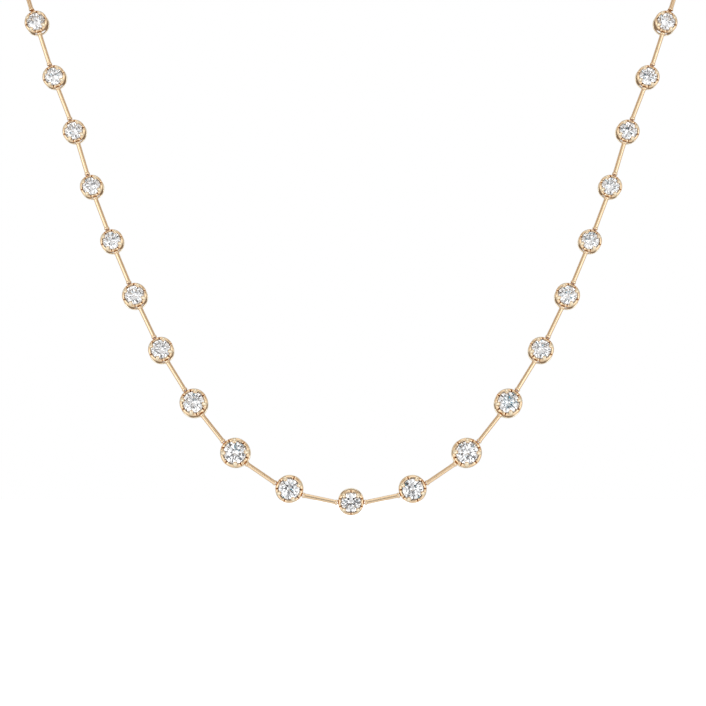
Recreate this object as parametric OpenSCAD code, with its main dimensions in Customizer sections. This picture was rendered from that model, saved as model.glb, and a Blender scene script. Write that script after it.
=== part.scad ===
// Riviere necklace: a graduated line of round brilliants in claw settings, joined by slim bar links.
// It keeps the form that it has when worn: the lower half hangs in front, the upper half goes round the neck.
// Width is X, the front faces -Y, Z is up. The origin is where the clasp rests on the nape of the neck.

/* [Setting] */
// Share of a setting's outside diameter that its stone takes up
stone_share = 0.764; // [0.70:0.002:0.78]
// Height of the rim above the stone's girdle, on the reference setting
rim_above = 0.22; // [0.15:0.01:0.30]
// Depth of the rim band below the girdle, on the reference setting
rim_below = 0.62; // [0.58:0.01:0.75]
// Depth of the basket below the girdle, on the reference setting
basket_depth = 2.65; // [2.3:0.05:2.8]
// Thickness of the basket wall between rim and base ring
wall_t = 0.30; // [0.25:0.01:0.40]
// Radial width of the base ring
base_w = 0.36; // [0.32:0.01:0.50]
// Height of the base ring
base_h = 0.32; // [0.25:0.01:0.50]
// Diameter of a claw
claw_d = 0.54; // [0.40:0.02:0.56]
// How far a claw is rooted in the rim, outwards from the stone's edge
claw_root = 0.40; // [0.30:0.02:0.42]
// How far a claw covers the stone, inwards from its edge
claw_cover = 0.22; // [0.16:0.02:0.36]
// Gap between a stone and the rim that holds it
stone_gap = 0.045; // [0.03:0.005:0.06]
// Gap between a claw and the crown's main facets, which leaves room for the higher ones beside them
claw_gap = 0.08; // [0.07:0.005:0.10]
// Width of the notches that part the rim into lobes
notch_w = 0.34; // [0.28:0.02:0.38]
// Depth of those notches
notch_depth = 0.38; // [0.30:0.02:0.42]
// Width of a basket window
window_w = 2.60; // [2.30:0.05:2.70]
// Width of the flat top of its arch
window_top_w = 1.60; // [1.30:0.05:1.75]

/* [Eyelets and bars] */
// Radius to the middle of the wire of a setting's eyelet
eye_r = 0.28; // [0.27:0.01:0.29]
// Wire diameter of an eyelet
eye_wire = 0.20; // [0.18:0.01:0.22]
// Distance from a setting's wall to the middle of its eyelet
eye_reach = 0.22; // [0.20:0.01:0.24]
// Distance between the two eyelets that one bar joins, centre to centre
bar_span = 6.03; // [5.9:0.01:6.2]
// Diameter of a bar
bar_d = 0.76; // [0.70:0.01:0.80]
// Largest diameter of the flare at a bar's ends
flare_d = 0.94; // [0.90:0.01:0.96]
// Length of that flare
flare_len = 0.35; // [0.30:0.01:0.38]
// How far a bar stands out from its eyelets, so that it runs over them
bar_lift = 0.58; // [0.56:0.01:0.60]
// How far a bar's ends reach past the middle of their eyelets
bar_overhang = 0.08; // [0.07:0.01:0.10]
// Radius to the middle of the wire of a bar's end loop
loop_r = 0.27; // [0.27:0.01:0.28]
// Wire diameter of a bar's end loop
loop_wire = 0.16; // [0.14:0.01:0.18]

/* [Stone proportions] */
// Table width over stone diameter
table_share = 0.57; // [0.53:0.01:0.62]
// Crown angle in degrees
crown_angle = 34.5; // [32:0.5:36]
// Pavilion angle in degrees
pavilion_angle = 40.8; // [40:0.1:42]
// Girdle height over stone diameter
girdle_share = 0.03; // [0.02:0.005:0.04]
// How far out the star facets reach, from table edge (0) to girdle (1)
star_reach = 0.50; // [0.45:0.01:0.60]
// How far in the lower half facets reach, as a share of the stone's radius
lower_half_reach = 0.78; // [0.70:0.01:0.85]

/* [Neck loop] */
// Outside diameter of the settings behind the shoulders
back_bezel = 4.1; // [3.6:0.1:4.6]
// How soon the back turns towards the nape, lower is sooner
back_turn_power = 0.60; // [0.58:0.01:0.62]
// How soon the back levels out, higher is sooner
back_level_power = 2.0; // [1.6:0.1:2.4]
// Direction in plan of the last bar before the clasp, in degrees
back_last_turn = 174; // [168:1:178]
// Diameter of the barrel clasp
clasp_d = 3.2; // [2.6:0.1:4.0]

/* [Hidden] */
$fn = 48;
gold = "#e4b98a";
white = "#eef2f6";
reference_bezel = 4.5;

// The front half, from the centre station up one side. Each row gives a station and the bar that leaves it.
// Columns: outside diameter of the setting, slope of the bar seen from the front, lean of the bar away from the front.
STATION_ROWS = [
    [4.50, 12.0, 0],
    [4.85, 34.2, 3],
    [5.20, 51.4, 9],
    [4.90, 58.0, 12],
    [4.45, 64.0, 13],
    [4.40, 67.0, 12],
    [4.10, 68.9, 11],
    [4.10, 72.9, 10],
    [4.10, 68.6, 9],
    [4.10, 71.7, 9],
    [4.10, 0, 0]
];
BEZEL = 0;
SLOPE = 1;
LEAN = 2;

// Stations are counted from the centre, 0, up each side. The last front one is where the chain passes the shoulder.
last_front = len(STATION_ROWS) - 1;
last_station = 20;
// The clasp stands for one more station when facings are worked out.
clasp_index = last_station + 1;

// Claws stand between the chain's two directions. Notches part the rim into lobes.
CLAW_ANGLES = [45, 135, 225, 315];
NOTCH_ANGLES = [20, 90, 160, 200, 270, 340];
WINDOW_ANGLES = [0, 90, 180, 270];

// Small edges of a setting: the ledge that the stone's girdle is seated over, and the bevels of the rim and the foot
ledge_w = 0.15;
rim_inner_bevel = 0.05;
rim_outer_bevel = 0.12;
foot_bevel = 0.10;
wall_step = 0.12;
// Profile of a claw, as shares of its radius: a bevelled root, and a tip domed in two steps
claw_shoulder = 0.8;
claw_bevel = 0.3;
claw_dome = 0.75;
claw_flat = 0.4;
// How far a bar reaches into its flare
bar_bite = 0.03;
// A flare's narrow end is this much wider than the bar that it runs out on.
flare_run_out = 1.04;
// Shape of the clasp: shares of its radius and lengths along it
clasp_end_share = 0.55;
clasp_shoulder_share = 0.85;
clasp_end_len = 0.35;
clasp_shoulder_len = 1.0;
groove_half_w = 0.25;
groove_floor_half_w = 0.12;
groove_depth = 0.15;

// The turn over the shoulder begins just before this station is left, counted along the chain in stations.
turn_start = 9.6;

// The eyelets lie this far below the girdle, on every setting.
eye_drop = 0.60;
// Facing of the centre station, tipped down a little, and how fast the stations turn outwards up the sides.
centre_tip = -5;
front_turn_out = 0.6;
// The chain rests on the slope from neck to shoulder, where its stations tip up the most.
shoulder_tip = 25;
// How soon the stations behind the shoulder turn to face backwards, lower is sooner
back_facing_power = 0.85;
// Each stone is turned in its setting by hand, so no two neighbours line up.
stone_turn_step = 17;

// Vectors and the frame of a station
function unit(v) = v / norm(v);
function square_to(v, n) = v - n * (v * n);
function plan_way(turn, climb) = [-cos(climb) * cos(turn), cos(climb) * sin(turn), sin(climb)];

// Direction of the bar that leaves station k
function front_bar_way(k) =
    let (slope = STATION_ROWS[k][SLOPE], lean = STATION_ROWS[k][LEAN])
    unit([-cos(slope), sin(slope) * tan(lean), sin(slope)]);
last_front_way = front_bar_way(last_front - 1);
first_turn = atan2(last_front_way[1], -last_front_way[0]);
first_climb = asin(last_front_way[2]);
function back_bar_way(k) =
    let (t = (k - turn_start) / (last_station - turn_start))
    plan_way(
        first_turn + (back_last_turn - first_turn) * pow(t, back_turn_power),
        first_climb * pow(1 - t, back_level_power)
    );
function bar_way(k) = k < last_front ? front_bar_way(k) : back_bar_way(k);

// Direction of a station, from one of its eyelets to the other
function station_way(k) =
    k == 0 ? [-1, 0, 0]
    : k == clasp_index ? [1, 0, 0]
    : unit(bar_way(k - 1) + bar_way(k));
function bezel_of(k) = k <= last_front ? STATION_ROWS[k][BEZEL] : back_bezel;
function eye_offset(k) = bezel_of(k) / 2 + eye_reach;

// Places of the stations, added up from the centre of the front
function step_from(k) =
    station_way(k) * eye_offset(k) + bar_way(k) * bar_span + station_way(k + 1) * eye_offset(k + 1);
STEPS = [for (k = [0 : last_station - 1]) step_from(k)];
function sum_to(k) = k == 0 ? [0, 0, 0] : sum_to(k - 1) + STEPS[k - 1];
last_eye = sum_to(last_station) + station_way(last_station) * eye_offset(last_station)
    + bar_way(last_station) * bar_span;
// The clasp reaches from one side's last bar to the other's.
clasp_eye_offset = -last_eye[0];
clasp_half = clasp_eye_offset - eye_reach;
// The nape touches the inside of the clasp, and that point is the origin.
nape = [0, last_eye[1] - clasp_d / 2, last_eye[2]];
PLACES = [for (k = [0 : last_station]) sum_to(k) - nape];

// Direction that a station faces: forwards at the front, out and up over the shoulder, backwards at the nape
shoulder_turn_out = front_turn_out * last_front;
shoulder_lean = STATION_ROWS[last_front - 1][LEAN];
function share_of_back(k) = (k - last_front) / (clasp_index - last_front);
function turn_out(k) =
    k <= last_front ? front_turn_out * k
    : shoulder_turn_out + (180 - shoulder_turn_out) * pow(share_of_back(k), back_facing_power);
function tip_up(k) =
    k == 0 ? centre_tip
    : k <= last_front ? STATION_ROWS[k - 1][LEAN]
    : shoulder_lean * (1 - share_of_back(k)) + shoulder_tip * sin(180 * share_of_back(k));
function facing(k) =
    unit(square_to([-sin(turn_out(k)) * cos(tip_up(k)), -cos(turn_out(k)) * cos(tip_up(k)), sin(tip_up(k))],
        station_way(k)));

// Puts a shape drawn along x and facing z at a place, running along way and facing out
module set_at(place, way, out) {
    side = cross(out, way);
    multmatrix([
        [way[0], side[0], out[0], place[0]],
        [way[1], side[1], out[1], place[1]],
        [way[2], side[2], out[2], place[2]],
        [0, 0, 0, 1]
    ])
        children();
}

module at_station(k) {
    set_at(PLACES[k] + facing(k) * eye_drop, station_way(k), facing(k)) children();
}

// Section of a setting: rim with a seat for the stone, basket wall and base ring, from the girdle's plane
module basket_section(bezel) {
    s = bezel / reference_bezel;
    r = bezel / 2;
    stone_r = stone_share * r;
    seat = stone_r - ledge_w * s;
    seat_top = -(girdle_share * stone_r + ledge_w * s * tan(pavilion_angle) + stone_gap / cos(pavilion_angle));
    mouth = stone_r + stone_gap;
    mouth_low = seat_top + (mouth - seat) * tan(pavilion_angle);
    polygon([
        [mouth, mouth_low],
        [mouth, rim_above * s - rim_inner_bevel],
        [mouth + rim_inner_bevel, rim_above * s],
        [r - rim_outer_bevel, rim_above * s],
        [r, rim_above * s - rim_outer_bevel],
        [r, -basket_depth * s + foot_bevel],
        [r - foot_bevel, -basket_depth * s],
        [r - base_w, -basket_depth * s],
        [r - base_w, -(basket_depth - base_h) * s],
        [r - wall_t, -(basket_depth - base_h) * s + wall_step],
        [r - wall_t, -rim_below * s - wall_step],
        [seat, -rim_below * s],
        [seat, seat_top]
    ]);
}

// A claw: a short round finger that leans in over the crown of the stone, just clear of it
module claw(bezel) {
    s = bezel / reference_bezel;
    stone_r = stone_share * bezel / 2;
    r = claw_d * s / 2;
    rise = (r + claw_gap) / cos(crown_angle) + girdle_share * stone_r;
    root = claw_root * s;
    length = (claw_root + claw_cover) * s / cos(crown_angle);
    translate([stone_r + root, 0, rise - root * tan(crown_angle)])
        rotate([0, crown_angle - 90, 0])
            rotate_extrude()
                polygon([
                    [0, 0],
                    [r * claw_shoulder, 0],
                    [r, r * claw_bevel],
                    [r, length - r * claw_dome],
                    [r * claw_shoulder, length - r * claw_bevel],
                    [r * claw_flat, length],
                    [0, length]
                ]);
}

// A V-shaped cut across the rim, which starts over the stone and ends outside the rim
module rim_notch(bezel) {
    s = bezel / reference_bezel;
    over = 0.05;
    inner = stone_share * bezel / 2 - 0.3 * s;
    translate([inner, 0, 0])
        rotate([90, 0, 90])
            linear_extrude(height = bezel / 2 + over - inner)
                polygon([
                    [-notch_w / 2 * s, (rim_above + over) * s],
                    [notch_w / 2 * s, (rim_above + over) * s],
                    [0, (rim_above - notch_depth) * s]
                ]);
}

// An arched window through the basket wall
module basket_window(bezel) {
    s = bezel / reference_bezel;
    sill = -(basket_depth - base_h) * s + wall_step;
    crown = -rim_below * s - wall_step;
    spring = (sill + crown) / 2;
    half_w = window_w / 2 * s;
    half_top_w = window_top_w / 2 * s;
    translate([bezel / 4, 0, 0])
        rotate([90, 0, 90])
            linear_extrude(height = bezel / 2)
                polygon([
                    [-half_w, sill],
                    [half_w, sill],
                    [half_w, spring],
                    [half_top_w, crown],
                    [-half_top_w, crown],
                    [-half_w, spring]
                ]);
}

// The ring soldered to a wall, which a bar's end loop passes through
module eyelet() {
    rotate_extrude()
        translate([eye_r, 0])
            circle(d = eye_wire);
}

module setting(bezel) {
    color(gold) {
        difference() {
            union() {
                rotate_extrude()
                    basket_section(bezel);
                for (a = CLAW_ANGLES)
                    rotate([0, 0, a])
                        claw(bezel);
            }
            for (a = NOTCH_ANGLES)
                rotate([0, 0, a])
                    rim_notch(bezel);
            for (a = WINDOW_ANGLES)
                rotate([0, 0, a])
                    basket_window(bezel);
        }
        for (side = [-1, 1])
            translate([side * (bezel / 2 + eye_reach), 0, -eye_drop])
                eyelet();
    }
}

// A round brilliant: table, 8 stars, 8 kites, 16 upper halves, girdle, 16 lower halves and 8 mains
function ring_point(r, a, z) = [r * cos(a), r * sin(a), z];
module brilliant(d) {
    r = d / 2;
    table_r = table_share * r / cos(22.5);
    girdle_z = girdle_share * r;
    table_z = girdle_z + (r - table_r) * tan(crown_angle);
    star_r = table_r + (r - table_r) * star_reach;
    star_z = table_z - (star_r * cos(22.5) - table_r) * tan(crown_angle);
    culet_z = -girdle_z - r * tan(pavilion_angle);
    half_r = r * (1 - lower_half_reach);
    half_z = culet_z + half_r * cos(22.5) * tan(pavilion_angle);
    points = concat(
        [for (i = [0 : 7]) ring_point(table_r, 45 * i, table_z)],
        [for (i = [0 : 7]) ring_point(star_r, 45 * i + 22.5, star_z)],
        [for (i = [0 : 15]) ring_point(r, 22.5 * i, girdle_z)],
        [for (i = [0 : 15]) ring_point(r, 22.5 * i, -girdle_z)],
        [for (i = [0 : 7]) ring_point(half_r, 45 * i + 22.5, half_z)],
        [[0, 0, culet_z]]
    );
    star = 8;
    top = 16;
    low = 32;
    half = 48;
    culet = 56;
    faces = concat(
        [[for (i = [7 : -1 : 0]) i]],
        [for (i = [0 : 7]) [i, (i + 1) % 8, star + i]],
        [for (i = [0 : 7]) [i, star + i, top + 2 * i, star + (i + 7) % 8]],
        [for (i = [0 : 7]) [star + i, top + 2 * i + 1, top + 2 * i]],
        [for (i = [0 : 7]) [star + i, top + (2 * i + 2) % 16, top + 2 * i + 1]],
        [for (i = [0 : 15]) [top + i, top + (i + 1) % 16, low + (i + 1) % 16, low + i]],
        [for (i = [0 : 7]) [half + i, low + 2 * i, low + 2 * i + 1]],
        [for (i = [0 : 7]) [half + i, low + 2 * i + 1, low + (2 * i + 2) % 16]],
        [for (i = [0 : 7]) [culet, half + (i + 7) % 8, low + 2 * i, half + i]]
    );
    color(white)
        polyhedron(points = points, faces = faces, convexity = 2);
}

// The loop under a bar's end stands on edge, so that it can hook the eyelet
module end_loop() {
    translate([loop_r, 0, 0])
        rotate([90, 0, 0])
            rotate_extrude()
                translate([loop_r, 0])
                    circle(d = loop_wire);
}

// The flare that a bar widens to at its end
module end_flare() {
    translate([-bar_overhang, 0, 0])
        rotate([0, 90, 0])
            cylinder(h = flare_len, d1 = flare_d, d2 = bar_d * flare_run_out);
}

// A bar from one eyelet to the next. It stands out over both, and each end loop stands square to the station it hooks.
module bar_link(from, way, out_from, out_to) {
    to = from + way * bar_span;
    out = unit(square_to(out_from + out_to, way));
    lift = out * bar_lift;
    bar_start = bar_bite - bar_overhang;
    color(gold) {
        set_at(from, way, unit(square_to(out_from, way)))
            end_loop();
        set_at(to, -way, unit(square_to(out_to, way)))
            end_loop();
        set_at(from + lift, way, out)
            end_flare();
        set_at(to + lift, -way, out)
            end_flare();
        set_at(from + lift + way * bar_start, way, out)
            rotate([0, 90, 0])
                cylinder(h = bar_span - 2 * bar_start, d = bar_d);
    }
}

module bar_from(k) {
    bar_link(PLACES[k] + station_way(k) * eye_offset(k), bar_way(k), facing(k), facing(k + 1));
}

// Both sides of a shape that is drawn on the side of -X
module both_sides() {
    children();
    mirror([1, 0, 0])
        children();
}

module station_setting(k) {
    at_station(k)
        setting(bezel_of(k));
}

module station_stone(k) {
    at_station(k)
        rotate([0, 0, stone_turn_step * k])
            brilliant(stone_share * bezel_of(k));
}

module front_bars() {
    both_sides()
        for (k = [0 : last_front - 1])
            bar_from(k);
}

module back_settings() {
    both_sides()
        for (k = [last_front + 1 : last_station])
            station_setting(k);
}

module back_stones() {
    both_sides()
        for (k = [last_front + 1 : last_station])
            station_stone(k);
}

module back_bars() {
    both_sides()
        for (k = [last_front : last_station])
            bar_from(k);
}

// A plain barrel with domed shoulders and an eyelet at each end
module clasp() {
    out = facing(clasp_index);
    r = clasp_d / 2;
    color(gold)
        set_at(last_eye - nape + [clasp_eye_offset, 0, 0], [1, 0, 0], out) {
            rotate([0, 90, 0])
                rotate_extrude()
                    polygon([
                        [0, -clasp_half],
                        [r * clasp_end_share, -clasp_half],
                        [r * clasp_shoulder_share, -clasp_half + clasp_end_len],
                        [r, -clasp_half + clasp_shoulder_len],
                        [r, -groove_half_w],
                        [r - groove_depth, -groove_floor_half_w],
                        [r - groove_depth, groove_floor_half_w],
                        [r, groove_half_w],
                        [r, clasp_half - clasp_shoulder_len],
                        [r * clasp_shoulder_share, clasp_half - clasp_end_len],
                        [r * clasp_end_share, clasp_half],
                        [0, clasp_half]
                    ]);
            for (side = [-1, 1])
                translate([side * clasp_eye_offset, 0, 0])
                    eyelet();
        }
}

SIDES = ["left", "right"];
function side_names(stem) = [for (side = SIDES, k = [1 : last_front]) str(stem, "_", side, "_", k)];

station_setting(0);  // setting_center
for (k = [1 : last_front])
    station_setting(k);
for (k = [1 : last_front])
    mirror([1, 0, 0]) station_setting(k);
station_stone(0);  // stone_center
for (k = [1 : last_front])
    station_stone(k);
for (k = [1 : last_front])
    mirror([1, 0, 0]) station_stone(k);
front_bars();
back_settings();
back_stones();
back_bars();
clasp();
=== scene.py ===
# %% [markdown]
# # A riviere necklace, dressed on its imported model
# The necklace is a loop of 41 claw settings, each with a round brilliant, joined by slim bars and
# closed by a barrel clasp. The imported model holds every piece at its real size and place. This script
# keeps its stones, gives them a finish, and puts smoother settings, bars and clasp where its own are.
# Blender works in metres. The jeweller's sizes below are in millimetres, and MM turns them into metres
# where a mesh is made.

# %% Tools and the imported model
from math import asin, atan2, cos, degrees, pi, radians, sin, tan

import bmesh
import bpy
from mathutils import Matrix, Vector


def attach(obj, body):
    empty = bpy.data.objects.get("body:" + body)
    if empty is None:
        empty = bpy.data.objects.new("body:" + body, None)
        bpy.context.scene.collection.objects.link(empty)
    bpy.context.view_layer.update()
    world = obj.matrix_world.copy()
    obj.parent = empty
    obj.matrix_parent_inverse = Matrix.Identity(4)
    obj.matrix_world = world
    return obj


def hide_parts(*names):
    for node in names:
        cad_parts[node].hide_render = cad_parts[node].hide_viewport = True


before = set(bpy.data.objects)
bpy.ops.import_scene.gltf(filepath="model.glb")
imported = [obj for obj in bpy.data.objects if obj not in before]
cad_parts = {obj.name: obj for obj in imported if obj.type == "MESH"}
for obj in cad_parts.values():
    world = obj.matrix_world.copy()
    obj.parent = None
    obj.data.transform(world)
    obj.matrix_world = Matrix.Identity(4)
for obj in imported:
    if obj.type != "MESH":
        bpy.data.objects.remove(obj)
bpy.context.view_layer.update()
MM = 0.001
print("packed nodes:", len(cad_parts))

# %% [markdown]
# ## Sums on sockets
# A node tree is easier to read as sums than as a web of boxes. `Wire` holds one socket and adds a Math
# node for each operator. `Graph.node` adds any other node: it takes the node's type, its settings,
# which are set first because they can change its sockets, and the values or links of its sockets. Each
# node could be made in four or five lines of its own. One method was chosen because it works in
# material trees and in Geometry Nodes trees.

# %% Wires and graphs
class Wire:
    """An output socket, on which sums are written as on a number."""

    def __init__(self, graph, socket):
        self.graph = graph
        self.socket = socket

    def sum(self, operation, first, second):
        """The Math node of an operator."""
        return self.graph.node("ShaderNodeMath", {"operation": operation}, {0: first, 1: second})

    def __add__(self, number):
        return self.sum("ADD", self, number)

    def __sub__(self, number):
        return self.sum("SUBTRACT", self, number)

    def __rsub__(self, number):
        return self.sum("SUBTRACT", number, self)

    def __mul__(self, number):
        return self.sum("MULTIPLY", self, number)

    __radd__ = __add__
    __rmul__ = __mul__


class Graph:
    """A node tree, with one method that adds any node."""

    def __init__(self, tree):
        self.tree = tree

    def node(self, kind, settings=None, inputs=None, output=0):
        """A new node, handed back as the wire of one of its outputs if it has any."""
        made = self.tree.nodes.new(kind)
        for name, value in (settings or {}).items():
            setattr(made, name, value)
        for name, value in (inputs or {}).items():
            self.plug(value, made.inputs[name])
        return Wire(self, made.outputs[output]) if made.outputs else made

    def plug(self, value, socket):
        """Link a wire to a socket, or set the socket to a plain value."""
        if isinstance(value, Wire):
            self.tree.links.new(value.socket, socket)
        else:
            socket.default_value = value


def mixed(graph, factor, first, second):
    """A colour that goes from the first at 0 to the second at 1."""
    return graph.node("ShaderNodeMix", {"data_type": "RGBA"}, {"Factor": factor, "A": first, "B": second},
                      output="Result")


# %% [markdown]
# ## The path of the chain
# The necklace hangs as it is worn: the lower half in front, the upper half round the neck. Every
# station sits where the bars before it lead, so the whole loop follows from a short table of slopes and
# a rule for the part behind the shoulders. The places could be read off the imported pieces. The rule was
# chosen because it gives the directions too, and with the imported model's own numbers each new piece
# falls exactly where the model has it.

# %% Sizes of the chain, in millimetres and degrees
# Each row: outside diameter of the setting, slope of the bar that leaves it, lean of that bar away from
# the front
STATION_ROWS = [
    (4.50, 12.0, 0), (4.85, 34.2, 3), (5.20, 51.4, 9), (4.90, 58.0, 12), (4.45, 64.0, 13), (4.40, 67.0, 12),
    (4.10, 68.9, 11), (4.10, 72.9, 10), (4.10, 68.6, 9), (4.10, 71.7, 9), (4.10, 0, 0),
]
BACK_BEZEL = 4.1
REFERENCE_BEZEL = 4.5
EYE_REACH = 0.22
EYE_DROP = 0.60
BAR_SPAN = 6.03
CLASP_D = 3.2
# Stations are counted from the centre: the last in front, the last before the clasp, and the clasp's
# own number
LAST_FRONT = 10
LAST_STATION = 20
CLASP_INDEX = 21
# How the bars turn round the neck, and how the settings tip up over the shoulder
TURN_START = 9.6
BACK_TURN_POWER = 0.60
BACK_LEVEL_POWER = 2.0
BACK_LAST_TURN = 174
CENTRE_TIP = -5
FRONT_TURN_OUT = 0.6
SHOULDER_TIP = 25
BACK_FACING_POWER = 0.85


# %% The path, station by station
def way_of(turn, climb):
    """A unit vector from its direction in plan and its climb, in degrees."""
    return Vector((-cos(radians(climb)) * cos(radians(turn)), cos(radians(climb)) * sin(radians(turn)),
                   sin(radians(climb))))


def front_bar_way(k):
    """Direction of a bar in front, from its row's slope and lean."""
    slope, lean = (radians(v) for v in STATION_ROWS[k][1:])
    return Vector((-cos(slope), sin(slope) * tan(lean), sin(slope))).normalized()


last_front_way = front_bar_way(LAST_FRONT - 1)
first_turn = degrees(atan2(last_front_way.y, -last_front_way.x))
first_climb = degrees(asin(last_front_way.z))


def bar_way(k):
    """Direction of the bar that leaves station k."""
    if k < LAST_FRONT:
        return front_bar_way(k)
    t = (k - TURN_START) / (LAST_STATION - TURN_START)
    turn = first_turn + (BACK_LAST_TURN - first_turn) * t ** BACK_TURN_POWER
    return way_of(turn, first_climb * (1 - t) ** BACK_LEVEL_POWER)


def station_way(k):
    """Direction of a station, from one of its eyelets to the other."""
    if k == 0:
        return Vector((-1, 0, 0))
    if k == CLASP_INDEX:
        return Vector((1, 0, 0))
    return (bar_way(k - 1) + bar_way(k)).normalized()


def bezel_of(k):
    """Outside diameter of the setting at station k."""
    return STATION_ROWS[k][0] if k <= LAST_FRONT else BACK_BEZEL


def eye_offset(k):
    """How far an eyelet's middle is from its station's."""
    return bezel_of(k) / 2 + EYE_REACH


def eye_after(k, place):
    """The eyelet that the bar leaving station k hooks."""
    return place + station_way(k) * eye_offset(k)


places = [Vector((0, 0, 0))]
for k in range(LAST_STATION):
    bar_end = eye_after(k, places[k]) + bar_way(k) * BAR_SPAN
    places.append(bar_end + station_way(k + 1) * eye_offset(k + 1))
last_eye = eye_after(LAST_STATION, places[-1]) + bar_way(LAST_STATION) * BAR_SPAN
nape = Vector((0, last_eye.y - CLASP_D / 2, last_eye.z))
places = [p - nape for p in places]
clasp_eye_offset = -last_eye.x
clasp_half = clasp_eye_offset - EYE_REACH
print("stations on a side:", len(places))
print("length of the clasp:", round(2 * clasp_half, 2), "mm")


# %% The facing of each station
def square_to(way, out):
    """The direction nearest to out that stands square to way."""
    return (out - way * out.dot(way)).normalized()


def facing(k):
    """Direction that a station faces: forwards in front, up over the shoulder, backwards at the nape."""
    turn_out = FRONT_TURN_OUT * k
    tip = CENTRE_TIP if k == 0 else STATION_ROWS[min(k, LAST_FRONT) - 1][2]
    if k > LAST_FRONT:
        share = (k - LAST_FRONT) / (CLASP_INDEX - LAST_FRONT)
        start = FRONT_TURN_OUT * LAST_FRONT
        turn_out = start + (180 - start) * share ** BACK_FACING_POWER
        tip = tip * (1 - share) + SHOULDER_TIP * sin(pi * share)
    a, b = radians(turn_out), radians(tip)
    return square_to(station_way(k), Vector((-sin(a) * cos(b), -cos(a) * cos(b), sin(b))))


def frame_at(place, way, out):
    """The matrix of a piece that runs along way, faces out and stands at place, in millimetres."""
    out = square_to(way, out)
    turn = Matrix((way, out.cross(way), out)).transposed()
    return Matrix.Translation(place * MM) @ turn.to_4x4()


def flipped(v):
    """A place or direction on the other side."""
    return Vector((-v.x, v.y, v.z))


print("the last station in front faces", [round(v, 3) for v in facing(LAST_FRONT)])

# %% [markdown]
# ## Camera
# The photograph was taken from almost straight ahead with a long lens: the settings of the two sides
# mirror each other and hardly shrink towards the shoulders. A camera could be matched by eye. This one
# was fitted to the rims of the 21 settings in front, because a fit tells how far off it is. It stands
# 0.7 m away, level with the middle of the picture, and its field of view takes in almost 124 mm there.

# %% The camera
CAMERA_DISTANCE = 0.70
FIELD = 0.12355
SENSOR = 36.0
NEAREST_SEEN = 0.05
FARTHEST_SEEN = 20
# The middle of the picture, in metres beside the middle of the necklace and above its centre setting
PICTURE_SIDE = 0.00035
PICTURE_RISE = 0.02610


def in_scene(name, data):
    """A new object of a mesh or a camera, in the scene."""
    made = bpy.data.objects.new(name, data)
    bpy.context.scene.collection.objects.link(made)
    return made


target = Vector((PICTURE_SIDE, places[0].y * MM, places[0].z * MM + PICTURE_RISE))
camera_data = bpy.data.cameras.new("camera")
camera_data.sensor_width = SENSOR
camera_data.lens = SENSOR * CAMERA_DISTANCE / FIELD
camera_data.clip_start = NEAREST_SEEN
camera_data.clip_end = FARTHEST_SEEN
camera = in_scene("camera", camera_data)
camera.location = target + Vector((0, -CAMERA_DISTANCE, 0))
camera.rotation_euler = (pi / 2, 0, 0)
bpy.context.scene.camera = camera
print("lens:", round(camera_data.lens, 1), "mm")

# %% [markdown]
# ## Light
# Polished gold and cut stones show little but what stands round them. A jeweller's photographer hangs
# white paper in front and at the sides, sets bright cards where the metal should flash, and adds small
# dark and coloured cards, which cut stones break up into specks. The dark room behind draws the gold's
# outlines. All this could be built from sheets and lamps. One world whose light depends on direction
# was chosen, because every card can then be moved and toned by itself. What the camera sees behind the
# necklace is plain white, as in the photograph.

# %% The cards of the studio
# Each zone: where it is, seen from the necklace, in degrees to the side of the camera and above it, the
# angle within which it is full, the angle where it ends, and its colour times its strength. A later
# zone covers the ones before it. A zone to the side has a twin on the other side. The twins stand a
# little higher, because a mirrored studio draws a mirrored pattern in the centre stone.
TWIN_LIFT = 4
ALL_AROUND = (0.72, 0.70, 0.66)
DARK_CARD = (0.03, 0.03, 0.04)
TEAL_CARD = (0.02, 0.26, 0.38)
ZONES = [
    (0, 0, 70, 100, (1.04, 1.04, 1.05)),  # the white paper in front, all round the camera
    (180, 0, 26, 46, (0.20, 0.16, 0.12)),  # the dark room behind the necklace
    (0, 78, 14, 30, (1.30, 1.30, 1.30)),  # a bright sheet overhead
    (0, 48, 16, 28, (0.82, 0.82, 0.82)),  # duller paper above the camera
    (0, -50, 20, 32, (0.82, 0.82, 0.82)),  # duller paper below it
    (0, -6, 20, 32, (0.80, 0.80, 0.81)),  # duller paper round it
    (33, 2, 19, 27, (1.86, 1.90, 1.93)),  # a large bright card at each side, for the gold's flash
    (57, 38, 16, 28, (0.40, 0.30, 0.21)),  # a brown card high at each side, for its brown lines
    (2, -7, 7, 10, (0.04, 0.04, 0.05)),  # the camera itself
    (9, -8, 3, 6, (1.66, 1.68, 1.70)),  # a small bright card at each side of it
    (14, 3, 5, 8, DARK_CARD),
    (8, -19, 4, 6, DARK_CARD),
    (11, 11, 4, 6, DARK_CARD),
    (21, 0, 4, 6, DARK_CARD),
    (22, 14, 3, 5, DARK_CARD),
    (3, 25, 2, 4, TEAL_CARD),
    (7, 14, 1, 3, TEAL_CARD),
    (40, 2, 3, 5, TEAL_CARD),
]


def toward(side, rise):
    """The direction of a zone, from its angles."""
    side, rise = radians(side), radians(rise)
    return Vector((sin(side) * cos(rise), -cos(side) * cos(rise), sin(rise)))


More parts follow.
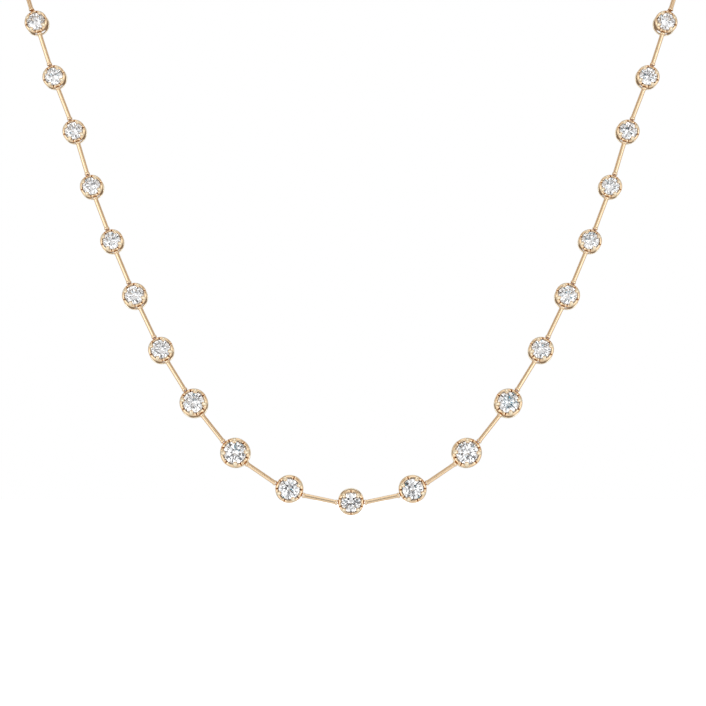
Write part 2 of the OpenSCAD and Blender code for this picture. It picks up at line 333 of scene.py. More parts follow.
# %% The studio as a world
world = bpy.data.worlds.new("studio")
bpy.context.scene.world = world
world.use_nodes = True
world.node_tree.nodes.clear()
studio = Graph(world.node_tree)
direction = studio.node("ShaderNodeTexCoord", output="Generated")
light = studio.node("ShaderNodeRGB")
light.socket.default_value = (*ALL_AROUND, 1)
for side, rise, full, ends, colour in ZONES:
    twins = ((-side, 0), (side, TWIN_LIFT)) if side % 180 else ((side, 0),)
    for turn, lift in twins:
        nearness = studio.node("ShaderNodeVectorMath", {"operation": "DOT_PRODUCT"},
                               {0: direction, 1: toward(turn, rise + lift)}, output="Value")
        share = studio.node("ShaderNodeMapRange", {"interpolation_type": "SMOOTHSTEP"}, {
            "Value": nearness, "From Min": cos(radians(ends)), "From Max": cos(radians(full))})
        light = mixed(studio, share, light, (*colour, 1))
seen = studio.node("ShaderNodeLightPath", output="Is Camera Ray")
light = mixed(studio, seen, light, (1, 1, 1, 1))
sky = studio.node("ShaderNodeBackground", inputs={"Color": light, "Strength": 1.0})
studio.node("ShaderNodeOutputWorld", inputs={"Surface": sky})
bpy.context.scene.view_settings.view_transform = "Standard"
bpy.context.scene.view_settings.look = "None"
print("zones of the studio:", len(ZONES))

# %% [markdown]
# ## Floor
# A plain pale floor lies well below the necklace, wide enough to reach the horizon from every side. The
# picture from the front doesn't need it, but a view from above does, to have a ground. A white sheet
# that curves up behind could do the same. A flat one was chosen because the necklace is looked at from
# all sides. It glows a little, so that it stays pale, and neither the gold nor the stones mirror it.

# %% The floor
FLOOR_DEPTH = 0.35
FLOOR_HALF = 6.0
PAPER_TONE = (0.90, 0.90, 0.90, 1)
PAPER_ROUGHNESS = 0.9
PAPER_GLOW = 0.80


def new_material(name):
    """A material without nodes, and the graph to fill it with."""
    material = bpy.data.materials.new(name)
    material.use_nodes = True
    material.node_tree.nodes.clear()
    return material, Graph(material.node_tree)


def finish_with(graph, inputs):
    """One Principled shader with these inputs, as the material's surface."""
    surface = graph.node("ShaderNodeBsdfPrincipled", inputs=inputs)
    graph.node("ShaderNodeOutputMaterial", inputs={"Surface": surface})


corners = [(x * FLOOR_HALF, y * FLOOR_HALF, -FLOOR_DEPTH) for x, y in ((-1, -1), (1, -1), (1, 1), (-1, 1))]
floor_mesh = bpy.data.meshes.new("floor")
floor_mesh.from_pydata(corners, [], [(0, 1, 2, 3)])
floor = in_scene("floor", floor_mesh)
paper, sheet = new_material("white_paper")
finish_with(sheet, {"Base Color": PAPER_TONE, "Roughness": PAPER_ROUGHNESS,
                    "Emission Color": (1, 1, 1, 1), "Emission Strength": PAPER_GLOW})
floor_mesh.materials.append(paper)
floor.visible_glossy = False
floor.visible_transmission = False
print("the floor is", 2 * FLOOR_HALF, "m wide and", FLOOR_DEPTH, "m below the clasp")

# %% [markdown]
# ## Gold
# Rose-tinted 18 carat gold is polished but never a mirror: the wheel leaves fine hairlines and the tone
# wanders a little. On top of these, the gold is painted brown as painted shade in hollows, under rims and
# between parts, and paler as painted highlights on claws, lobes and flares. Such marks could be painted by
# hand, but there are 41 settings. Two noises on Object coordinates were chosen for the hairlines and the
# tone. The templates below carry an attribute, `painted_shade_and_highlight`, for the rest: up to 1 where
# shade is painted, and down to -1 where a highlight is painted.

# %% The gold
GOLD = (0.96, 0.74, 0.50, 1)
GOLD_DEEP = (0.92, 0.67, 0.42, 1)
# The brown of painted shade and the pale gold of painted highlights
GOLD_PAINTED_SHADE = (0.50, 0.28, 0.14, 1)
GOLD_PAINTED_HIGHLIGHT = (1.00, 0.88, 0.67, 1)
# Noise scales are in waves for each metre; the hairlines are six times as long as they are wide
DRIFT_SCALE = 700.0
DRIFT_DETAIL = 2.0
HAIRLINE_SCALE = (9000.0, 9000.0, 1500.0)
HAIRLINE_DETAIL = 3.0
HAIRLINE_STRENGTH = 0.015
HAIRLINE_DEPTH = 0.00002
# Roughness of the polish, and what the drift, the hairlines, the painted shade and the painted highlights add
# to it
POLISH = 0.10
DRIFT_ROUGH = 0.06
HAIRLINE_ROUGH = 0.05
PAINTED_SHADE_ROUGH = 0.25
PAINTED_HIGHLIGHT_ROUGH = 0.15

gold, metal = new_material("rose_gold")
where = metal.node("ShaderNodeTexCoord", output="Object")
drift = metal.node("ShaderNodeTexNoise", output="Fac", inputs={
    "Vector": where, "Scale": DRIFT_SCALE, "Detail": DRIFT_DETAIL})
tone = mixed(metal, drift, GOLD, GOLD_DEEP)
# Painted shade and painted highlights, read from the templates' attribute: brown where shade falls, pale
# where highlights fall
painted_shade_and_highlight = metal.node("ShaderNodeAttribute", {"attribute_name": "painted_shade_and_highlight"}, output="Fac")
painted_shade = metal.node("ShaderNodeMath", {"operation": "MAXIMUM"}, {0: painted_shade_and_highlight, 1: 0.0})
painted_highlight = metal.node("ShaderNodeMath", {"operation": "MAXIMUM"}, {0: 0.0 - painted_shade_and_highlight, 1: 0.0})
tone = mixed(metal, painted_shade, tone, GOLD_PAINTED_SHADE)
tone = mixed(metal, painted_highlight, tone, GOLD_PAINTED_HIGHLIGHT)
lengthwise = metal.node("ShaderNodeMapping", inputs={"Vector": where, "Scale": HAIRLINE_SCALE})
hairlines = metal.node("ShaderNodeTexNoise", output="Fac", inputs={
    "Vector": lengthwise, "Scale": 1.0, "Detail": HAIRLINE_DETAIL})
bump = metal.node("ShaderNodeBump", inputs={
    "Height": hairlines, "Strength": HAIRLINE_STRENGTH, "Distance": HAIRLINE_DEPTH})
rough = (POLISH + drift * DRIFT_ROUGH + hairlines * HAIRLINE_ROUGH + painted_shade * PAINTED_SHADE_ROUGH
         + painted_highlight * PAINTED_HIGHLIGHT_ROUGH)
finish_with(metal, {"Base Color": tone, "Metallic": 1.0, "Roughness": rough, "Normal": bump})
print("nodes in the gold:", len(gold.node_tree.nodes))

# %% [markdown]
# ## Diamond
# A cut diamond bends light more than any glass. Its flat facets do the rest: what enters the crown is
# thrown back by the pavilion. The sparkle could be painted on, but it would stand still when the
# necklace turns. A clear shader with diamond's index was chosen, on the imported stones, whose facets are
# exact.

# %% The diamond
DIAMOND_IOR = 2.417

diamond, gem = new_material("diamond")
finish_with(gem, {"Base Color": (1, 1, 1, 1), "Roughness": 0.0, "IOR": DIAMOND_IOR,
                  "Transmission Weight": 1.0})
stones = [node for name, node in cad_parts.items() if "stone" in name]
for stone in stones:
    stone.data.materials.clear()
    stone.data.materials.append(diamond)
print("stone nodes:", len(stones))

# %% [markdown]
# ## Building blocks
# Every new piece is a closed skin of rings: rings of points, joined into quads. Spheres, tubes and
# boolean cuts could make the same forms, but their edges are hard to shade smoothly where they meet. A
# skin was chosen because it has no open seam or pole, and because each of its points can carry the
# attribute of painted shade and highlight. `turned` gives the rings of a piece made on a lathe, and
# `wire_ring` those of a bent wire.

# %% Rings and skins
SHARP_EDGE = radians(38)


def turn_outwards(mesh):
    """Faces that point outwards, shaded smoothly except across sharp edges."""
    work = bmesh.new()
    work.from_mesh(mesh)
    bmesh.ops.recalc_face_normals(work, faces=work.faces)
    work.to_mesh(mesh)
    work.free()
    mesh.shade_smooth()
    mesh.set_sharp_from_angle(angle=SHARP_EDGE)


def skin(name, rings, loop=False):
    """A closed skin through rings of (x, y, z, painted light), either a loop of rings or capped at its two
    ends.
    """
    count = len(rings[0])
    points = [point for ring in rings for point in ring]
    faces = []
    for i in range(len(rings) if loop else len(rings) - 1):
        near, far = i * count, (i + 1) % len(rings) * count
        faces += [(near + j, near + (j + 1) % count, far + (j + 1) % count, far + j) for j in range(count)]
    if not loop:
        faces += [tuple(range(count)), tuple(range(len(points) - count, len(points)))]
    mesh = bpy.data.meshes.new(name)
    mesh.from_pydata([Vector(p[:3]) * MM for p in points], [], faces)
    # The fourth value of each point, painted shade above 0 and a painted highlight below 0, is kept as an
    # attribute for the gold
    painted_light = mesh.attributes.new("painted_shade_and_highlight", "FLOAT", "POINT")
    painted_light.data.foreach_set("value", [p[3] for p in points])
    turn_outwards(mesh)
    return mesh


def turned(profile, sides):
    """Rings of a profile of (radius, distance, painted light), turned round the x axis."""
    turns = [2 * pi * i / sides for i in range(sides)]
    return [[(distance, radius * cos(a), radius * sin(a), painted_light) for a in turns]
            for radius, distance, painted_light in profile]


def wire_ring(radius, wire, steps, sides):
    """Rings of a round wire bent into a ring that lies flat. The wire is given by its own radius."""
    rings = []
    for i in range(steps):
        a = 2 * pi * i / steps
        ring = []
        for j in range(sides):
            b = 2 * pi * j / sides
            out = radius + wire * cos(b)
            ring.append((out * cos(a), out * sin(a), wire * sin(b), 0.0))
        rings.append(ring)
    return rings


# %% Templates
def joined_mesh(name, meshes):
    """One gold mesh from several."""
    work = bmesh.new()
    for mesh in meshes:
        work.from_mesh(mesh)
    whole = bpy.data.meshes.new(name)
    work.to_mesh(whole)
    work.free()
    whole.materials.append(gold)
    return whole


def triangles(mesh):
    """How many triangles the faces of a mesh come to."""
    return sum(len(face.vertices) - 2 for face in mesh.polygons)


templates = []


def template(name, *skins):
    """An object that is only there to be copied. It is deleted at the end."""
    made = in_scene(name, joined_mesh(name, skins))
    templates.append(made)
    print(name, "has", triangles(made.data), "triangles")
    return made


# %% [markdown]
# ## The basket
# A setting is a short tube with a pillowed rim. Six notches part the rim into lobes, and four arched
# windows are cut through the wall, so light reaches the stone. A goldsmith saws and files these cuts,
# and boolean cuts could do the same here. One skin was chosen instead, so that the lobes stay smooth: a
# cross-section goes round, its top dips at a notch and its foot rises over a window. The base ring is a
# second skin that the feet stand in.

# %% Sizes of the reference setting, in millimetres and degrees
STONE_SHARE = 0.764
STONE_GAP = 0.045
PAVILION_ANGLE = 40.8
RIM_ABOVE = 0.22
RIM_BELOW = 0.62
BASKET_DEPTH = 2.65
WALL = 0.30
LEDGE_W = 0.15
BASE_W = 0.36
BASE_H = 0.32
NOTCH_ANGLES = (20, 90, 160, 200, 270, 340)
NOTCH_HALF = 3.8
NOTCH_DEPTH = 0.38
WINDOW_ANGLES = (0, 90, 180, 270)
WINDOW_HALF = 35.3
ARCH_POWER = 2.6

# Radii from the setting's axis, and heights above its origin
RADIUS = REFERENCE_BEZEL / 2
STONE_R = STONE_SHARE * RADIUS
MOUTH = STONE_R + STONE_GAP
LEDGE = STONE_R - LEDGE_W
WAIST = RADIUS - 0.07
INSIDE = RADIUS - WALL
LEDGE_TOP = -0.24
LEDGE_OUTSIDE = LEDGE_TOP + (MOUTH - LEDGE) * tan(radians(PAVILION_ANGLE))
INSIDE_TOP = -RIM_BELOW - 0.04
ARCH_TOP = -RIM_BELOW - 0.12
FOOT = -BASKET_DEPTH + 0.15

# %% The shape of the rim, in the same measures
# The fixed points of the section, as (radius, height, painted light): the seat of the stone and the mouth,
# and then the outside below the pillow, where the wall draws in a little. All carry painted shade, darkest
# just under the pillow
SEAT = [(LEDGE, -RIM_BELOW, 0.7), (LEDGE, LEDGE_TOP - 0.03, 0.7), (LEDGE + 0.03, LEDGE_TOP, 0.7),
        (MOUTH, LEDGE_OUTSIDE, 0.7), (MOUTH, 0.04, 0.5)]
OUTSIDE = [(RADIUS, -0.14, 0.5), (RADIUS - 0.03, -0.24, 1.0), (WAIST, -0.40, 1.0), (WAIST, -RIM_BELOW, 0.7)]
# Points down the outside of the wall, as shares of the way to the foot, and the foot's bevel
WALL_SHARES = (0.35, 0.75, 1.0)
FOOT_BEVEL = 0.02

# The pillow swells between the mouth and the outside, less so at a notch than in the middle of a lobe
PILLOW_STEPS = 7
PILLOW_START = 0.14
PILLOW_POWER = 0.7
PILLOW_HEIGHT = RIM_ABOVE - 0.01
PILLOW_AT_NOTCH = 0.50
PILLOW_INSIDE = 0.06
PILLOW_FALL = 0.12
LOBE_FADE = 15

# A painted highlight lies on each lobe, and painted shade on the pillow towards a notch and on the notch's
# floor, most of all at the mouth
LOBE_HIGHLIGHT = 0.4
NOTCH_SIDE_SHADE = 0.3
NOTCH_FADE = 0.7

# A notch is cut from just above the rim, and only into what stands above the rim's foot
NOTCH_START = 0.02
RIM_FOOT = -0.2


# %% The basket's section at an angle
def away_from(angle, marks):
    """The least angle between a direction and any of the marks."""
    return min(abs((angle - mark + 180) % 360 - 180) for mark in marks)


def foot_height(angle):
    """The lower edge of the wall. It follows the arch over a window and stands in the base ring elsewhere."""
    u = away_from(angle, WINDOW_ANGLES) / WINDOW_HALF
    if u >= 1:
        return FOOT
    return FOOT + (ARCH_TOP - FOOT) * (1 - u ** ARCH_POWER) ** (1 / ARCH_POWER)


def pillow_points(lobe):
    """The top of the rim, from the mouth outwards. Lobe is 0 in the middle of a notch and 1 far from it."""
    points = []
    for i in range(1, PILLOW_STEPS + 1):
        t = i / PILLOW_STEPS
        swell = 0.0
        if i < PILLOW_STEPS:
            swell = sin(pi * (PILLOW_START + (1 - PILLOW_START) * t)) ** PILLOW_POWER
            swell *= PILLOW_AT_NOTCH + (1 - PILLOW_AT_NOTCH) * lobe
        height = PILLOW_INSIDE - PILLOW_FALL * t + PILLOW_HEIGHT * swell
        # Painted shade on the pillow near a notch, and a painted highlight on the middle of a lobe
        points.append((MOUTH + (RADIUS - MOUTH) * t, height, NOTCH_SIDE_SHADE * (1 - lobe) - LOBE_HIGHLIGHT * lobe))
    return points


def basket_section(angle):
    """The wall's closed section: from the seat over the rim, down the outside and up again inside."""
    beside = away_from(angle, NOTCH_ANGLES)
    cut = max(0.0, 1 - beside / NOTCH_HALF)
    lobe = sin(pi / 2 * min(1.0, beside / LOBE_FADE))
    top = RIM_ABOVE + NOTCH_START - (NOTCH_DEPTH + NOTCH_START) * cut
    section = []
    for radius, height, painted_light in SEAT + pillow_points(lobe):
        if height > RIM_FOOT:
            # Painted shade on the floor of a notch, darkest at the mouth
            notch_shade = cut * (1 - NOTCH_FADE * max(0.0, radius - MOUTH) / (RADIUS - MOUTH))
            height, painted_light = min(height, top), max(painted_light, notch_shade)
        section.append((radius, height, painted_light))
    low = foot_height(angle)
    # Painted shade on the outside below the pillow, down the wall and up its inside
    section += OUTSIDE
    section += [(WAIST, -RIM_BELOW + (low + RIM_BELOW) * share, 0.4) for share in WALL_SHARES]
    section.append((INSIDE + FOOT_BEVEL, low, 0.3))
    section += [(INSIDE, (low + INSIDE_TOP) / 2, 0.4), (INSIDE, INSIDE_TOP, 0.5)]
    return section


# %% The angles at which the section is taken
# They lie close across each notch and along the sides of each window, and wider in between
NOTCH_SHARES = (-3, -2, -1, -0.5, 0, 0.5, 1, 2, 3)
WINDOW_SHARES = (0.6, 0.8, 0.9, 0.96, 0.99, 1.0)
LEAST_STEP = 0.3
USUAL_STEP = 5

marks = {float(n + NOTCH_HALF * share) for n in NOTCH_ANGLES for share in NOTCH_SHARES}
for side in (-1, 1):
    marks |= {w + side * WINDOW_HALF * share for w in WINDOW_ANGLES for share in WINDOW_SHARES}
marks = sorted(m % 360 for m in marks)
angles = []
for start, end in zip(marks, marks[1:] + [marks[0] + 360]):
    if end - start >= LEAST_STEP:
        pieces = max(1, round((end - start) / USUAL_STEP))
        angles += [start + (end - start) * i / pieces for i in range(pieces)]
basket_rings = []
for angle in angles:
    a = radians(angle)
    basket_rings.append([(r * cos(a), r * sin(a), z, painted_light) for r, z, painted_light in basket_section(angle)])
basket = skin("basket", basket_rings, loop=True)
print("sections round the basket:", len(angles))

# %% The base ring
# Its wire is a little squarer than round. It has a painted highlight outside and painted shade on its inner
# side.
BASE_STEPS = 64
BASE_SIDES = 12
BASE_POWER = 0.85
BASE_INNER_SIDE = -0.1
BASE_HIGHLIGHT = -1.0
BASE_INNER_SHADE = 0.8


def squarer(value):
    """The sine or cosine of a circle, pushed outwards to round a square's corner."""
    return abs(value) ** BASE_POWER * (1 if value >= 0 else -1)


base_rings = []
for i in range(BASE_STEPS):
    a = 2 * pi * i / BASE_STEPS
    ring = []
    for j in range(BASE_SIDES):
        b = 2 * pi * j / BASE_SIDES
        r = RADIUS - BASE_W / 2 + squarer(cos(b)) * BASE_W / 2
        z = -BASKET_DEPTH + BASE_H / 2 + squarer(sin(b)) * BASE_H / 2
        # A painted highlight on the outer side, top and bottom, and painted shade on the inner side
        painted_light = BASE_HIGHLIGHT if cos(b) > BASE_INNER_SIDE else BASE_INNER_SHADE
        ring.append((r * cos(a), r * sin(a), z, painted_light))
    base_rings.append(ring)
base_ring = skin("base_ring", base_rings, loop=True)
body = template("setting_body", basket, base_ring)

# %% [markdown]
# ## Claws
# A claw is a round finger: it rises inside the wall, bends over the edge of the stone and ends in a
# polished dome. A curve with a round bevel could follow the bend. A tube through a table of points was
# chosen, because its thickness and its painted light change along the way: a painted highlight over the
# dome and painted shade at the tip and the foot. It is made once, and Geometry Nodes set it round the rim.

# %% One claw, drawn in the plane through the stone's axis
CLAW_LINE = [
    # distance from the stone's axis, height, radius, painted light (painted shade above 0, painted highlight
    # below 0)
    (1.98, -0.85, 0.150, 0.2),
    (1.99, -0.40, 0.200, 0.0),
    (1.99, -0.05, 0.240, 0.0),
    (1.97, 0.16, 0.262, -0.5),
    (1.89, 0.315, 0.275, -1.0),
    (1.77, 0.425, 0.275, -1.0),
    (1.65, 0.510, 0.270, -1.0),
    (1.55, 0.575, 0.245, -0.9),
    (1.47, 0.625, 0.190, -0.2),
    (1.42, 0.650, 0.090, 0.7),
]
CLAW_SIDES = 12
CLAW_BREADTH = 1.22

claw_rings = []
for i, (x, z, radius, painted_light) in enumerate(CLAW_LINE):
    before = CLAW_LINE[max(i - 1, 0)]
    after = CLAW_LINE[min(i + 1, len(CLAW_LINE) - 1)]
    along = Vector((after[0] - before[0], 0, after[1] - before[1])).normalized()
    across = Vector((0, CLAW_BREADTH, 0))
    up = Vector((-along.z, 0, along.x))
    ring = []
    for j in range(CLAW_SIDES):
        b = 2 * pi * j / CLAW_SIDES
        p = Vector((x, 0, z)) + across * radius * cos(b) + up * radius * sin(b)
        ring.append((*p, painted_light))
    claw_rings.append(ring)
claw = template("claw", skin("claw", claw_rings))

# %% [markdown]
# ## Geometry Nodes: round the rim
# The four claws of a setting are alike. Python could turn and join four copies. A tree was chosen
# because it keeps their number and their place as inputs. It makes a few points on the stone's axis and
# puts a copy of the piece on each, turned a step further than the one before. It then joins them to the
# basket that comes in.


# %% Helpers for node trees that make geometry
def new_tree(name, inputs):
    """The graph of a Geometry Nodes tree with geometry in and out, and the wires of its named inputs."""
    tree = bpy.data.node_groups.new(name, "GeometryNodeTree")
    tree.interface.new_socket("Geometry", in_out="INPUT", socket_type="NodeSocketGeometry")
    for title, kind in inputs.items():
        tree.interface.new_socket(title, in_out="INPUT", socket_type="NodeSocket" + kind)
    tree.interface.new_socket("Geometry", in_out="OUTPUT", socket_type="NodeSocketGeometry")
    graph = Graph(tree)
    first = graph.node("NodeGroupInput")
    return graph, {socket.name: Wire(graph, socket) for socket in first.socket.node.outputs if socket.name}


def grown(obj, graph, name, values):
    """The result of a tree on an object, as a plain mesh object. Inputs are set by their identifiers."""
    modifier = obj.modifiers.new(graph.tree.name, "NODES")
    modifier.node_group = graph.tree
    for socket in graph.tree.interface.items_tree:
        if socket.in_out == "INPUT" and socket.name in values:
            modifier[socket.identifier] = values[socket.name]
    bpy.context.view_layer.update()
    depsgraph = bpy.context.evaluated_depsgraph_get()
    mesh = bpy.data.meshes.new_from_object(obj.evaluated_get(depsgraph))
    mesh.name = name
    obj.modifiers.remove(modifier)
    return in_scene(name, mesh)


# %% The tree that sets pieces round the rim
rim_tree, given = new_tree("round_the_rim", {"Piece": "Object", "Count": "Int", "First angle": "Float",
                                             "Finish": "Material"})
centres = rim_tree.node("GeometryNodeMeshLine", inputs={"Count": given["Count"], "Offset": (0, 0, 0)})
index = rim_tree.node("GeometryNodeInputIndex")
step = rim_tree.node("ShaderNodeMath", {"operation": "DIVIDE"}, {0: 2 * pi, 1: given["Count"]})
angle = index * step + given["First angle"]
turn = rim_tree.node("ShaderNodeCombineXYZ", inputs={"Z": angle})
piece = rim_tree.node("GeometryNodeObjectInfo", inputs={"Object": given["Piece"]}, output="Geometry")
copies = rim_tree.node("GeometryNodeInstanceOnPoints", inputs={
    "Points": centres, "Instance": piece, "Rotation": turn})
joined = rim_tree.node("GeometryNodeJoinGeometry", inputs={"Geometry": given["Geometry"]})
rim_tree.plug(copies, joined.socket.node.inputs["Geometry"])
whole = rim_tree.node("GeometryNodeRealizeInstances", inputs={"Geometry": joined})
whole = rim_tree.node("GeometryNodeSetMaterial", inputs={"Geometry": whole, "Material": given["Finish"]})
rim_tree.node("NodeGroupOutput", inputs={"Geometry": whole})

# %% A whole setting
CLAW_COUNT = 4
FIRST_CLAW = radians(45)

setting = grown(body, rim_tree, "claw_setting", {
    "Piece": claw, "Count": CLAW_COUNT, "First angle": FIRST_CLAW, "Finish": gold})
templates.append(setting)
print("a setting has", triangles(setting.data), "triangles")

# %% [markdown]
# ## Eyelets, bars and the clasp
# An eyelet is a wire ring soldered to the wall on each side. A bar is a turned rod with a small flare
# at each end. It runs out over the eyelets, and a wire loop under each end hooks one. The clasp is a
# plain barrel with domed shoulders and a groove round its middle. Cylinders and tori could stand for
# them, but a plain cylinder has no flare or dome. A profile turned on a lathe was chosen, as a
# goldsmith would make them.

# %% Eyelet, loop and bar
EYE_R = 0.28
EYE_WIRE = 0.20
EYE_STEPS = 28
LOOP_R = 0.27
LOOP_WIRE = 0.16
LOOP_STEPS = 24
WIRE_SIDES = 10
BAR_D = 0.76
BAR_LIFT = 0.58
BAR_OVERHANG = 0.08
BAR_SIDES = 24
FLARE_D = 0.94
FLARE_LEN = 0.35
# A profile ends this far from its axis, and the cap closes what is left
NEAR_AXIS = 0.0004


def other_half(profile):
    """The mirror image of half a profile, from the middle to the other end."""
    return [(radius, -distance, painted_light) for radius, distance, painted_light in reversed(profile)]


eyelet_rings = wire_ring(EYE_R, EYE_WIRE / 2, EYE_STEPS, WIRE_SIDES)
eyelet = template("eyelet", skin("eyelet", eyelet_rings, loop=True))
loop_rings = wire_ring(LOOP_R, LOOP_WIRE / 2, LOOP_STEPS, WIRE_SIDES)
loop = template("bar_loop", skin("bar_loop", loop_rings, loop=True))

rod_r = BAR_D / 2
flare_r = FLARE_D / 2
bar_end = BAR_SPAN / 2 + BAR_OVERHANG
neck = bar_end - FLARE_LEN
half_bar = [
    # the end face, a little hollow, with painted shade
    (NEAR_AXIS, bar_end - 0.02, 0.4),
    (flare_r - 0.14, bar_end - 0.02, 0.4),
    (flare_r - 0.06, bar_end, 0.2),
    # the flare, with a painted highlight
    (flare_r - 0.015, bar_end - 0.015, 0.0),
    (flare_r, bar_end - 0.05, -0.3),
    (flare_r, neck + 0.10, -0.3),
    # the neck where it meets the rod, with painted shade, and the rod
    (flare_r - 0.02, neck + 0.05, 0.1),
    (rod_r + 0.015, neck + 0.01, 0.7),
    (rod_r, neck - 0.03, 0.4),
    (rod_r, neck - 0.08, 0.0),
    (rod_r, BAR_SPAN / 4, 0.0),
]
bar = template("bar", skin("bar", turned(half_bar + other_half(half_bar), BAR_SIDES)))

# %% The clasp
CLASP_DOME = 1.0
CLASP_END_SHARE = 0.50
DOME_STEPS = 8
CLASP_SIDES = 64
GROOVE_DEPTH = 0.14

clasp_r = CLASP_D / 2
half_clasp = [(NEAR_AXIS, clasp_half, 0.0)]
for i in range(DOME_STEPS + 1):
    a = pi / 2 * (1 - i / DOME_STEPS)
    half_clasp.append((clasp_r * (CLASP_END_SHARE + (1 - CLASP_END_SHARE) * cos(a)),
                       clasp_half - CLASP_DOME * (1 - sin(a)), 0.0))
# The groove round the middle carries painted shade
half_clasp += [(clasp_r, 0.30, 0.0), (clasp_r - 0.03, 0.22, 0.1), (clasp_r - GROOVE_DEPTH, 0.13, 0.8)]
groove_middle = [(clasp_r - GROOVE_DEPTH, 0.0, 0.8)]
clasp_rings = turned(half_clasp + groove_middle + other_half(half_clasp), CLASP_SIDES)
clasp_body = template("clasp_body", skin("barrel", clasp_rings))

# %% [markdown]
# ## Geometry Nodes: along the chain
# The loop has 41 settings, 42 bars, 84 eyelets and 84 loops under the bars. A node could space
# them evenly along a curve, but the settings differ in size and every piece has a turn of its own. So
# the chain's rule gives each a place, a turn and a size. They are stored on the points of a small mesh,
# as attributes, and one tree puts a copy of a piece on each point. The same tree sets settings,
# eyelets, bars and loops.

# %% The tree that sets pieces along the chain
chain_tree, given = new_tree("along_the_chain", {"Piece": "Object", "Finish": "Material"})
turn = chain_tree.node("GeometryNodeInputNamedAttribute", {"data_type": "QUATERNION"}, {"Name": "turn"},
                       output="Attribute")
size = chain_tree.node("GeometryNodeInputNamedAttribute", {"data_type": "FLOAT"}, {"Name": "size"},
                       output="Attribute")
piece = chain_tree.node("GeometryNodeObjectInfo", inputs={"Object": given["Piece"]}, output="Geometry")
copies = chain_tree.node("GeometryNodeInstanceOnPoints", inputs={
    "Points": given["Geometry"], "Instance": piece, "Rotation": turn, "Scale": size})
whole = chain_tree.node("GeometryNodeRealizeInstances", inputs={"Geometry": copies})
whole = chain_tree.node("GeometryNodeSetMaterial", inputs={"Geometry": whole, "Material": given["Finish"]})
chain_tree.node("NodeGroupOutput", inputs={"Geometry": whole})


def along_the_chain(name, piece, spots):
    """Copies of a piece at spots of (matrix, size), as one mesh object."""
    mesh = bpy.data.meshes.new(name + "_points")
    mesh.from_pydata([matrix.to_translation() for matrix, _ in spots], [], [])
    turns = mesh.attributes.new("turn", "QUATERNION", "POINT")
    turns.data.foreach_set("value", [v for matrix, _ in spots for v in matrix.to_quaternion()])
    sizes = mesh.attributes.new("size", "FLOAT", "POINT")
    sizes.data.foreach_set("value", [size for _, size in spots])
    points = in_scene(name + "_points", mesh)
    made = grown(points, chain_tree, name, {"Piece": piece, "Finish": gold})
    bpy.data.objects.remove(points)
    return made


# %% Spots of each kind of piece, on both sides
def both(place, way, out, size=1.0):
    """A spot on the left side, and its mirror image on the right."""
    return [(frame_at(place, way, out), size),
            (frame_at(flipped(place), -flipped(way), flipped(out)), size)]


def setting_spots(first, last):
    """Each setting stands out from the line between its eyelets. The centre one has no twin."""
    spots = []
    for k in range(first, last + 1):
        size = bezel_of(k) / REFERENCE_BEZEL
        pair = both(places[k] + facing(k) * EYE_DROP, station_way(k), facing(k), size)
        spots += pair if k else pair[:1]
    return spots


def eyelet_spots(first, last):
    """Each setting has an eyelet at both ends. The centre one's second is its first one's twin."""
    spots = []
    for k in range(first, last + 1):
        for end in (-1, 1) if k else (1,):
            spots += both(places[k] + station_way(k) * eye_offset(k) * end, station_way(k), facing(k))
    return spots


def bar_spots(first, last):
    """Each bar stands out from the line between its two eyelets, so that it runs over them."""
    spots = []
    for k in range(first, last + 1):
        way = bar_way(k)
        out = square_to(way, facing(k) + facing(k + 1))
        spots += both(eye_after(k, places[k]) + way * BAR_SPAN / 2 + out * BAR_LIFT, way, out)
    return spots


def loop_spots(first, last):
    """Each bar's two loops stand on edge, square to the station that they hook."""
    spots = []
    for k in range(first, last + 1):
        way = bar_way(k)
        start = eye_after(k, places[k])
        for reach, out in ((LOOP_R, facing(k)), (BAR_SPAN - LOOP_R, facing(k + 1))):
            spots += both(start + way * reach, way, square_to(way, out).cross(way))
    return spots


print("bars in front:", len(bar_spots(0, LAST_FRONT - 1)))

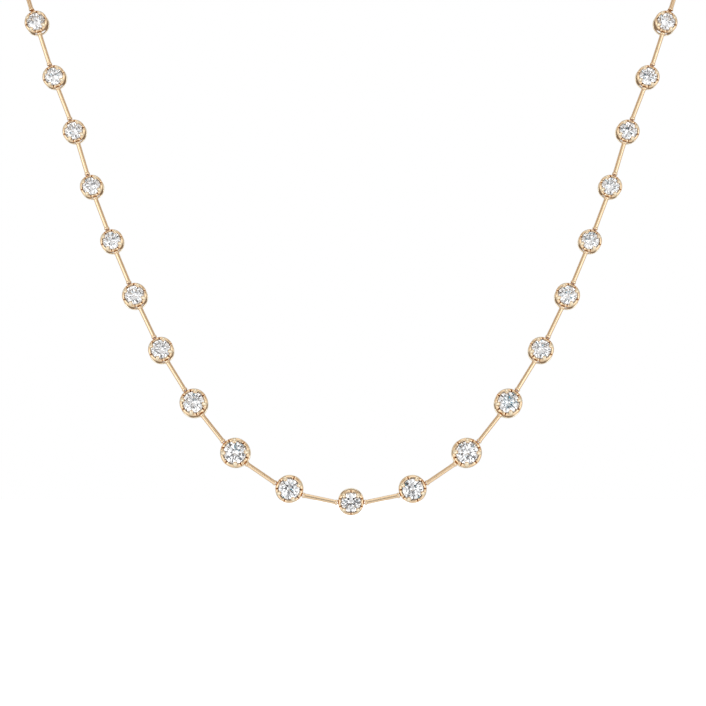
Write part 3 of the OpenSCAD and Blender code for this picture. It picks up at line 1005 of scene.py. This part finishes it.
# %% [markdown]
# ## The finished pieces
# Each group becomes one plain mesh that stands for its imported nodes. Every setting could stay an object
# of its own. One mesh for a group was chosen, because all of them share one finish and nothing on a
# chain moves by itself here. So everything rides on the one body.


# %% Joining and handing over
def finished_piece(name, objects, nodes):
    """One mesh from several objects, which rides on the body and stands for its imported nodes."""
    mesh = joined_mesh(name, [obj.data for obj in objects])
    for obj in objects:
        bpy.data.objects.remove(obj)
    made = in_scene(name, mesh)
    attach(made, "root")
    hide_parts(*nodes)
    print(name, "stands for", len(nodes), "nodes and has", triangles(mesh), "triangles")


front_settings = ["setting_center"]
for side in ("left", "right"):
    front_settings += [f"setting_{side}_{k}" for k in range(1, LAST_FRONT + 1)]
finished_piece("settings_front", [
    along_the_chain("front_baskets", setting, setting_spots(0, LAST_FRONT)),
    along_the_chain("front_eyelets", eyelet, eyelet_spots(0, LAST_FRONT)),
], front_settings)
finished_piece("settings_back", [
    along_the_chain("back_baskets", setting, setting_spots(LAST_FRONT + 1, LAST_STATION)),
    along_the_chain("back_eyelets", eyelet, eyelet_spots(LAST_FRONT + 1, LAST_STATION)),
], ["back_settings"])
finished_piece("bars_front", [
    along_the_chain("front_rods", bar, bar_spots(0, LAST_FRONT - 1)),
    along_the_chain("front_loops", loop, loop_spots(0, LAST_FRONT - 1)),
], ["front_bars"])
finished_piece("bars_back", [
    along_the_chain("back_rods", bar, bar_spots(LAST_FRONT, LAST_STATION)),
    along_the_chain("back_loops", loop, loop_spots(LAST_FRONT, LAST_STATION)),
], ["back_bars"])

# The barrel lies across the nape, with an eyelet at each end
lengthways = Vector((1, 0, 0))
clasp_place = last_eye - nape + Vector((clasp_eye_offset, 0, 0))
clasp_eye = clasp_place + Vector((clasp_eye_offset, 0, 0))
clasp_out = facing(CLASP_INDEX)
finished_piece("barrel_clasp", [
    along_the_chain("barrel", clasp_body, [(frame_at(clasp_place, lengthways, clasp_out), 1.0)]),
    along_the_chain("clasp_eyelets", eyelet, both(clasp_eye, lengthways, clasp_out)),
], ["clasp"])

for made in templates:
    bpy.data.objects.remove(made)
